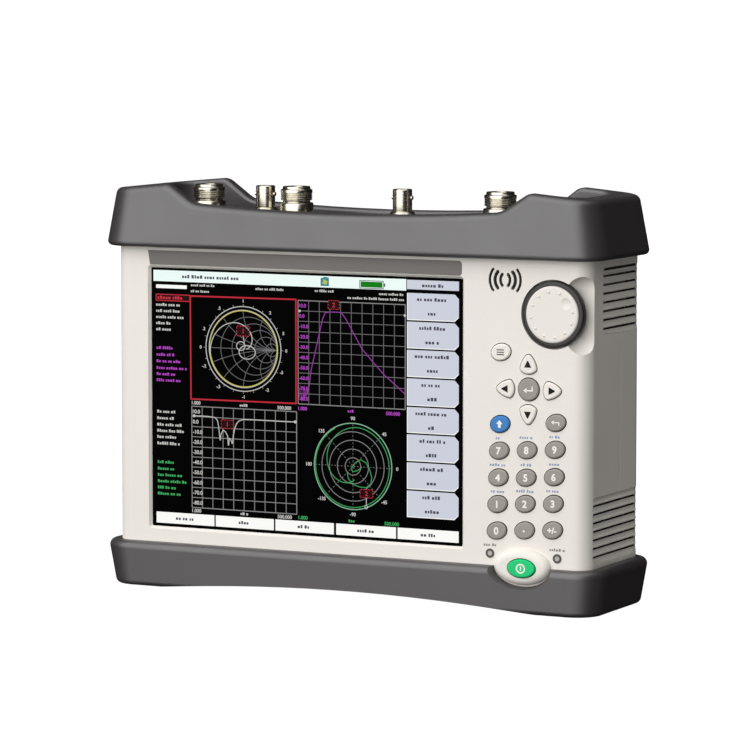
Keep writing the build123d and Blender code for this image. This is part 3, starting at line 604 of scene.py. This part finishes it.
# upper right grid
gx0, gx1, gz0, gz1 = -27.0, 32.1, 95.2, 146.6
for i in range(11):
    w = 0.45 if i in (0, 10) else 0.3
    dst = grey if i in (0, 10) else dim
    x = gx0 + (gx1 - gx0) * i / 10
    z = gz0 + (gz1 - gz0) * i / 10
    dst.line([(x, gz0), (x, gz1)], w)
    dst.line([(gx0, z), (gx1, z)], w)
for i in range(10):
    fig_m.append(("%.1f" % (10 - 10 * i), True, -26.4, gz1 - 2.5 - 5.14 * i, 2.5))
zig = []
r = random_series(77)
for i in range(26):
    zig.append((-26.6 + 4.4 * i / 25, 96.6 + 8.8 * next(r) if i % 2 else 96.4 + 3.0 * next(r)))
tr_m.line(zig, 0.3)
tr_m.line([(-22.2, 100.2), (-20.8, 104.6), (-19.6, 112.9), (-17.7, 120.4), (-15.5, 129.2), (-13.3, 138.1), (-11.75, 141.1),
           (-8.0, 141.6), (-3.1, 141.5), (-0.6, 138.6), (2.1, 134.3), (8.3, 124.1), (14.4, 117.8), (20.6, 111.7), (27.9, 106.1),
           (32.0, 102.7)], 0.42)
marker(-10.2, 143.0, -4.0, 147.2)
fig_k.append(("2", False, -7.1, 145.1, 3.2))
for p in ((-26.1, 141.4), (31.9, 141.3)):
    tr_w.disc(p[0], p[1], 0.65, 12)
marks(mag_t, 0.6, 4.6, 92.9, 1.8, 600)
fig_m += [("1.000", True, -26.9, 93.0, 2.4), ("500.000", True, 21.6, 92.8, 2.4)]

# lower left grid
hx0, hx1, hz0, hz1 = -87.3, -27.9, 40.0, 91.2
for i in range(11):
    w = 0.45 if i in (0, 10) else 0.36
    x = hx0 + (hx1 - hx0) * i / 10
    z = hz0 + (hz1 - hz0) * i / 10
    grey.line([(x, hz0), (x, hz1)], w)
    grey.line([(hx0, z), (hx1, z)], w)
for i in range(10):
    fig_w.append(("%.1f" % (10 - 10 * i), True, -86.7, hz1 - 2.6 - 5.12 * i, 2.7))
tr_w.line([(-86.1, 86.4), (-81.5, 86.5), (-76.8, 86.4), (-73.9, 86.0), (-72.6, 84.7), (-71.9, 81.4), (-71.1, 74.8)], 0.4)
tr_w.line([(-71.0, 74.8), (-70.7, 77.6), (-69.4, 80.0), (-68.1, 79.2), (-66.9, 77.3), (-66.45, 72.4)], 0.4)
tr_w.line([(-66.3, 72.4), (-65.9, 76.0), (-65.0, 75.3), (-64.2, 73.4)], 0.4)
tr_w.line([(-64.1, 73.4), (-63.6, 77.5), (-62.9, 80.8), (-61.7, 83.7), (-60.3, 85.1), (-57.7, 85.9), (-50.2, 86.0), (-41.5, 86.0),
           (-33.0, 86.0), (-28.5, 86.1)], 0.45)
tr_w.disc(-86.0, 86.4, 0.75, 12)
tr_w.disc(-28.6, 86.1, 0.75, 12)
marker(-70.4, 80.9, -63.5, 85.2)
fig_k.append(("1", False, -66.95, 83.05, 3.2))
marks(wht_t, -59.6, -55.0, 38.4, 1.8, 660)
fig_w += [("1.000", True, -87.2, 38.5, 2.5), ("500.000", True, -38.6, 38.3, 2.5)]

# polar chart
PX, PZ, PR = 3.4, 65.6, 21.4
for k, rr in enumerate((4.3, 8.6, 13.0, 17.2)):
    grey.ring(PX, PZ, rr, 0.34, n=72)
for i in range(8):
    a = math.radians(45 * i)
    for q in range(12):
        r0 = PR * (q + 0.25) / 12
        r1 = PR * (q + 0.7) / 12
        dim.line([(PX + r0 * math.cos(a), PZ + r0 * math.sin(a)), (PX + r1 * math.cos(a), PZ + r1 * math.sin(a))], 0.28)
    fig_t.append((str(45 * i if i < 5 else 45 * i - 360), False, PX + 24.4 * math.cos(a), PZ + 23.8 * math.sin(a), 2.4))
tr_p.ring(PX, PZ, PR, 0.45, n=96)
spiral = []
for i in range(150):
    t = i / 149
    a = math.radians(118 + 520 * t)
    rr = 21.0 - 2.2 * t if t < 0.62 else 19.6 - 13.0 * ((t - 0.62) / 0.38) ** 1.2
    spiral.append((PX + rr * math.cos(a), PZ + rr * math.sin(a)))
tr_g.line(spiral, 0.36)
tr_g.line([(8.3, 65.4), (5.8, 63.6), (3.3, 62.9), (2.4, 64.5), (4.6, 67.4), (7.65, 69.2), (10.7, 67.7), (12.6, 64.5), (13.8, 60.7),
           (13.2, 57.3), (10.7, 55.5), (7.0, 55.6), (3.3, 56.8), (0.9, 59.4), (0.2, 62.7)], 0.36)
marker(7.4, 50.5, 14.4, 54.5)
fig_k.append(("2", False, 10.9, 52.5, 3.2))
tr_w.line([(10.8, 50.4), (10.8, 46.6)], 0.32)
tr_w.ring(10.8, 45.8, 0.8, 0.3, n=16)
marks(grn_t, 1.0, 5.0, 38.4, 1.8, 720)
fig_g += [("1.000", True, -26.9, 38.5, 2.5), ("500.000", True, 20.8, 38.3, 2.5)]

for sh, nm, key in ((white, "picture_bars", "white"), (header, "picture_header", "mint"), (soft, "picture_softkeys", "soft"), (rim, "picture_softkey_rims", "white"),
                    (ink, "picture_ink", "ink"), (grey, "picture_grids", "grey"), (dim, "picture_fine_grids", "dim"),
                    (text, "picture_small_marks", "text"), (mag_t, "picture_magenta_marks", "magenta"),
                    (grn_t, "picture_green_marks", "green"), (wht_t, "picture_white_marks", "text"),
                    (tr_y, "trace_yellow", "yellow"), (tr_m, "trace_magenta", "purple"), (tr_w, "trace_white", "text"),
                    (tr_g, "trace_green", "green"), (tr_p, "trace_pale_green", "pale"), (red, "picture_red", "red"), (maroon, "marker_boxes", "maroon"),
                    (mk_t, "marker_marks", "marker"), (bat, "battery_level", "bright"), (teal, "link_symbol", "teal"),
                    (amber, "link_symbol_inner", "yellow")):
    sh.piece(nm, pic[key], "case", "display_black")
for items, nm, key, k in ((fig_w, "picture_white_figures", "text", 3), (fig_m, "picture_magenta_figures", "magenta", 3),
                          (fig_g, "picture_green_figures", "green", 3), (fig_t, "picture_chart_figures", "text", 3),
                          (fig_k, "marker_figures", "marker", 6)):
    numbers(items, LENS - 0.03 * k, 0.05, nm, pic[key], FIT)

# ------------------------------------------------------------------ key legends
KF = -32.9
DIGITS = {"key_7": "7", "key_8": "8", "key_9": "9", "key_4": "4", "key_5": "5", "key_6": "6", "key_1": "1", "key_2": "2",
          "key_3": "3", "key_0": "0", "key_plus_minus": "+/-"}
for k, t in DIGITS.items():
    lo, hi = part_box(k)
    x, z = (lo.x + hi.x) / 2 / MM, (lo.z + hi.z) / 2 / MM
    legend(t, x, z, KF - 0.01, 4.8 if len(t) == 1 else 4.0, 0.17, k + "_figure", mats["mark_white"], k + "_body")


def key_sheet(k):
    lo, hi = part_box(k)
    return Sheet(KF + 0.02, KF - 0.05), (lo.x + hi.x) / 2 / MM, (lo.z + hi.z) / 2 / MM


s, x, z = key_sheet("key_dot")
s.disc(x, z - 0.3, 0.55)
s.piece("key_dot_figure", mats["mark_white"], "key_dot_body", "key_grey")
s, x, z = key_sheet("key_menu")
for i in (-1, 0, 1):
    s.rect(x - 1.9, z + 1.15 * i - 0.24, x + 1.9, z + 1.15 * i + 0.24)
s.piece("key_menu_symbol", mats["mark_dark"], "key_menu_body", "key_white")
s, x, z = key_sheet("key_shift")
s.poly([(x - 1.7, z + 0.1), (x + 1.7, z + 0.1), (x, z + 2.0)])
s.rect(x - 0.75, z - 1.7, x + 0.75, z + 0.08)
s.piece("key_shift_symbol", mats["mark_white"], "key_shift_body", "key_blue")
s, x, z = key_sheet("key_esc")
s.line([(x + 1.9, z - 1.2), (x + 1.9, z + 0.3), (x - 0.9, z + 0.3)], 0.5)
s.poly([(x - 2.2, z + 0.3), (x - 0.7, z - 0.8), (x - 0.7, z + 1.4)])
s.piece("key_esc_symbol", mats["mark_white"], "key_esc_body", "key_grey")
s, x, z = key_sheet("key_enter")
s.line([(x + 2.2, z + 1.6), (x + 2.2, z - 0.5), (x - 0.9, z - 0.5)], 0.6)
s.poly([(x - 2.5, z - 0.5), (x - 0.7, z - 1.8), (x - 0.7, z + 0.8)])
s.piece("key_enter_symbol", mats["mark_white"], "key_enter_body", "key_grey")
for k, a in (("key_up", 0), ("key_left", 90), ("key_down", 180), ("key_right", 270)):
    s, x, z = key_sheet(k)
    c, d = math.cos(math.radians(a)), math.sin(math.radians(a))
    tri = [(-1.85, -1.5), (1.85, -1.5), (0.25, 1.75), (-0.25, 1.75)]
    s.poly([(x + p * c - q * d, z + p * d + q * c) for p, q in tri])
    s.piece(k + "_symbol", mats["mark_dark"], k + "_body", "key_white")
lo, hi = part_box("power_button")
PXC, PZC, PYF = (lo.x + hi.x) / 2 / MM, (lo.z + hi.z) / 2 / MM, lo.y / MM
s = Sheet(PYF + 0.02, PYF - 0.05)
s.ring(PXC, PZC, 2.1, 0.72, 2.05, 48)
s.rect(PXC - 0.33, PZC - 1.05, PXC + 0.33, PZC + 1.05)
s.piece("power_symbol", mats["mark_white"], "power_button_body", "key_green")

# ------------------------------------------------------- marks printed on the case, and painted shade at the lamps and speaker slots
CF = -31.8
blue = Sheet(CF + 0.02, CF - 0.03)
for i, (k, w) in enumerate((("key_7", 3.9), ("key_8", 8.1), ("key_9", 6.2), ("key_4", 9.4), ("key_5", 6.0), ("key_6", 5.8),
                            ("key_1", 7.3), ("key_2", 9.8), ("key_3", 7.6))):
    lo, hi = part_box(k)
    x, z = (lo.x + hi.x) / 2 / MM, (lo.z + hi.z) / 2 / MM
    marks(blue, x - w / 2, x + w / 2, z + 6.1, 1.9, 800 + i)
blue.piece("key_second_marks", mats["mark_blue"], "case", "case_plastic")
lamps = Sheet(CF + 0.02, CF - 0.03)
# dark rings round the lamp lenses: painted shade standing for the shadowed rims of the lamp holes
rings = Sheet(CF + 0.02, CF - 0.28)
for i, (x, z, w) in enumerate(((78.4, 28.4, 6.8), (113.9, 27.9, 8.0))):
    marks(lamps, x - w / 2, x + w / 2, z + 4.1, 1.8, 820 + i)
    rings.ring(x, z, 1.72, 1.05, n=40)
lamps.piece("lamp_marks", mats["mark_grey"], "case", "case_plastic")
rings.piece("lamp_shade_rings", mats["lamp_ring"], "case", "lamp_clear")
# dark sheet that fills the speaker slots just below the face: painted shade standing for the dark slot interiors
shade_sheet = Sheet(CF + 0.9, CF + 0.15)
for apex, r, h, w in ((2.5, 4.2, 2.7, 0.85), (5.35, 6.0, 3.9, 0.95), (8.1, 8.2, 5.1, 0.75)):
    t = math.degrees(math.asin(h / r))
    shade_sheet.ring(86.0 + apex - r, 160.95, r, w, n=16, a0=-t, a1=t)
    shade_sheet.ring(86.0 - apex + r, 160.95, r, w, n=16, a0=180 - t, a1=180 + t)
shade_sheet.piece("speaker_shade_sheet", mats["mark_dark"], "case", "seal_rubber")

# --------------------------------------------------------------------- knob face
KX, KZ, KY = 111.2, 145.25, -33.4
bm = bmesh.new()
for i in range(12):
    if i == 1:
        continue                               # the finger dimple takes this place
    a = math.radians(8.5 + 30 * i)
    cx, cz = KX + 10.95 * math.cos(a), KZ + 10.95 * math.sin(a)
    rows = []
    for r, h in ((0.75, -0.06), (0.75, 0.03), (0.62, 0.19), (0.36, 0.29)):
        rows.append([bm.verts.new(((cx + r * math.cos(2 * math.pi * j / 16)) * MM, (KY - h) * MM,
                                   (cz + r * math.sin(2 * math.pi * j / 16)) * MM)) for j in range(16)])
    for u, v in zip(rows, rows[1:]):
        for j in range(16):
            bm.faces.new([u[j], u[(j + 1) % 16], v[(j + 1) % 16], v[j]])
    bm.faces.new(rows[-1])
    bm.faces.new(list(reversed(rows[0])))
bmesh.ops.recalc_face_normals(bm, faces=bm.faces)
finish_piece(bm, "knob_dots", mats["knob_plastic"], "knob", True)

# ------------------------------------------------ threaded coaxial connector bodies
bm = bmesh.new()
CY = -1.8
PITCH = 1.058
N_THETA = 72
T_TOP, T_END = 198.4, 194.7


def n_profile():
    p = [(4.3, 188.6), (4.3, 201.1), (4.5, 201.4), (6.65, 201.4), (6.9, 201.15), (6.9, 200.25), (7.5, 199.85), (7.85, 199.75),
         (7.9375, 199.6), (7.9375, 198.45)]
    steps = 44
    p += [("t", T_TOP - (T_TOP - T_END) * i / steps) for i in range(steps + 1)]
    p += [(6.9, 194.35), (6.9, 193.3), (8.15, 193.2), (8.4, 192.95), (8.4, 184.2), (8.25, 184.0), (6.0, 184.0), (6.0, 172.0),
          (1.5, 172.0), (1.5, 188.6)]
    return p


def thread_radius(z, theta):
    f = ((z / PITCH) - theta / (2 * math.pi)) % 1.0
    depth = 0.42
    tri = abs(f - 0.5) * 2.0
    k = min(1.0, max(0.0, (tri - 0.12) / 0.76))
    fade = min(1.0, (T_TOP - z) / 0.4, (z - T_END) / 0.3 + 0.15)
    return 7.9375 - depth * (1 - k) * max(0.0, fade)


for x in (-92.0, -42.4, 69.5):
    prof = n_profile()
    grid = []
    for r, z in prof:
        row = []
        for j in range(N_THETA):
            th = 2 * math.pi * j / N_THETA
            rad = thread_radius(z, th) if r == "t" else r
            row.append(bm.verts.new(((x + rad * math.cos(th)) * MM, (CY + rad * math.sin(th)) * MM, z * MM)))
        grid.append(row)
    n = len(grid)
    for i in range(n):
        a, b = grid[i], grid[(i + 1) % n]
        for j in range(N_THETA):
            k = (j + 1) % N_THETA
            bm.faces.new([a[j], a[k], b[k], b[j]])
bmesh.ops.recalc_face_normals(bm, faces=bm.faces)
ob = finish_piece(bm, "n_connector_bodies", mats["nickel"], "case", True)
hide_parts("n_connectors")

# ------------------------------------------------------------------------- stage
def disc(name, radius, z, rings):
    b = bmesh.new()
    centre = b.verts.new((0, 0, z))
    last = None
    for q in rings:
        row = [b.verts.new((radius * q * math.cos(2 * math.pi * i / 64), radius * q * math.sin(2 * math.pi * i / 64), z))
               for i in range(64)]
        for i in range(64):
            j = (i + 1) % 64
            if last is None:
                b.faces.new([centre, row[i], row[j]])
            else:
                b.faces.new([last[i], row[i], row[j], last[j]])
        last = row
    me = bpy.data.meshes.new(name)
    b.to_mesh(me)
    b.free()
    o = bpy.data.objects.new(name, me)
    scene.collection.objects.link(o)
    return o


floor = disc("floor", 60.0, -0.0003, (0.01, 0.05, 0.2, 1.0))
m, nt, b = shader("floor_paper")
p = place(nt)
f = noise(nt, p, 3.0, 3.0, 0.5)
nt.links.new(ramp(nt, f, [(0.3, (0.10, 0.10, 0.10, 1)), (0.7, (0.11, 0.11, 0.11, 1))]), b.inputs["Base Color"])
b.inputs["Roughness"].default_value = 0.9
b.inputs["Specular IOR Level"].default_value = 0.1
b.inputs["Emission Color"].default_value = (1, 1, 1, 1)
b.inputs["Emission Strength"].default_value = 1.0
floor.data.materials.append(m)
floor.visible_diffuse = False
floor.visible_glossy = False
floor.visible_shadow = False

world = bpy.data.worlds.new("studio")
scene.world = world
world.use_nodes = True
bg = world.node_tree.nodes["Background"]
bg.inputs["Color"].default_value = (1.0, 0.99, 0.98, 1)
bg.inputs["Strength"].default_value = 0.012


def area(name, loc, target, size, watts, colour=(1, 1, 1), size_y=None):
    li = bpy.data.lights.new(name, "AREA")
    li.energy = watts
    li.color = colour
    li.size = size
    if size_y:
        li.shape = "RECTANGLE"
        li.size_y = size_y
    o = bpy.data.objects.new(name, li)
    scene.collection.objects.link(o)
    d = Vector(loc) - Vector(target)
    o.matrix_world = Matrix.Translation(loc) @ d.to_track_quat("Z", "Y").to_matrix().to_4x4()
    return o


def around(azimuth, elevation, distance):
    """A point round the object; azimuth 0 is straight in front of the display, 90 on its right."""
    a, e = math.radians(azimuth), math.radians(elevation)
    return (distance * math.sin(a) * math.cos(e), -distance * math.cos(a) * math.cos(e), 0.1 + distance * math.sin(e))


area("soft_wall", around(-10, 28, 2.6), (0, 0, 0.1), 4.6, 125, size_y=3.8).visible_camera = False
left = area("left_fill", around(-88, 22, 2.6), (0, 0, 0.1), 2.6, 14, size_y=2.4)
left.visible_camera = False
left.visible_glossy = False
side = area("side_fill", around(84, -16, 2.8), (0, 0, 0.1), 2.0, 8, size_y=1.2)
side.visible_camera = False
side.visible_glossy = False
area("overhead", (0.1, -0.35, 2.2), (0, 0, 0.1), 2.8, 21, size_y=1.5).visible_camera = False
bounce = area("table_bounce", around(3, -22, 2.2), (0, 0, 0.1), 3.6, 16, size_y=1.3)
bounce.visible_camera = False
bounce.visible_diffuse = False
back = area("back_light", around(206, 22, 3.0), (0, 0, 0.1), 1.6, 70)
back.visible_camera = False
back.visible_glossy = False

# ------------------------------------------------------------------------ camera
cam = bpy.data.cameras.new("camera")
cam.sensor_width = 36.0
cam.lens = 201.6
cam.clip_end = 200.0
camera = bpy.data.objects.new("camera", cam)
scene.collection.objects.link(camera)
az, el = math.radians(26.553), math.radians(5.653)
away = Vector((math.sin(az) * math.cos(el), -math.cos(az) * math.cos(el), math.sin(el)))
right = Vector((math.cos(az), math.sin(az), 0))
up = away.cross(right)
mw = Matrix((right, up, away)).transposed().to_4x4()
mw.translation = Vector((0.92755, -1.85533, 0.31390))
camera.matrix_world = mw
scene.camera = camera
